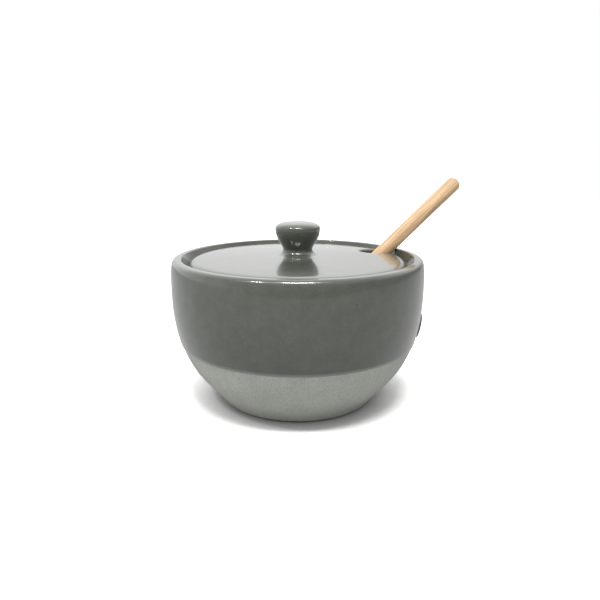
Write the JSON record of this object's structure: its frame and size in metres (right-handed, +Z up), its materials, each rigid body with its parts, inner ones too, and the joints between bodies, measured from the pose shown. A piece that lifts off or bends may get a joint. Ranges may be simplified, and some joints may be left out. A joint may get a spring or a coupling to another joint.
{
  "type": "honey pot",
  "caption": "Round stoneware honey pot with a low domed lid set inside its rim, a turned knob, and a wooden dipper that leaves through a notch in the lid's edge.",
  "frame": {"origin": "centre of the flat base, on the surface that the pot stands on", "axes": "+Z up along the pot's axis, the front of the pot faces -Y, and the dipper leans out between +X and +Y"},
  "size_m": [0.1537, 0.127, 0.1107],
  "materials": {
    "glazed_stoneware": "gloss",
    "turned_wood": "satin"
  },
  "bodies": {
    "pot": {"pot": "glazed_stoneware", "side_seal": "glazed_stoneware"},
    "lid": {"lid": "glazed_stoneware", "lid_knob": "glazed_stoneware"},
    "dipper": {"dipper_handle": "turned_wood", "dipper_discs": "turned_wood", "dipper_core": "turned_wood"}
  },
  "joints": [
    {"name": "lid_lift", "type": "slide", "parent": "pot", "child": "lid", "axis": [0, 0, 1], "range_m": [0, 0.05]},
    {"name": "dipper_draw", "type": "slide", "parent": "pot", "child": "dipper", "axis": [0.7174, 0.3045, 0.6265], "range_m": [0, 0.04]}
  ]
}
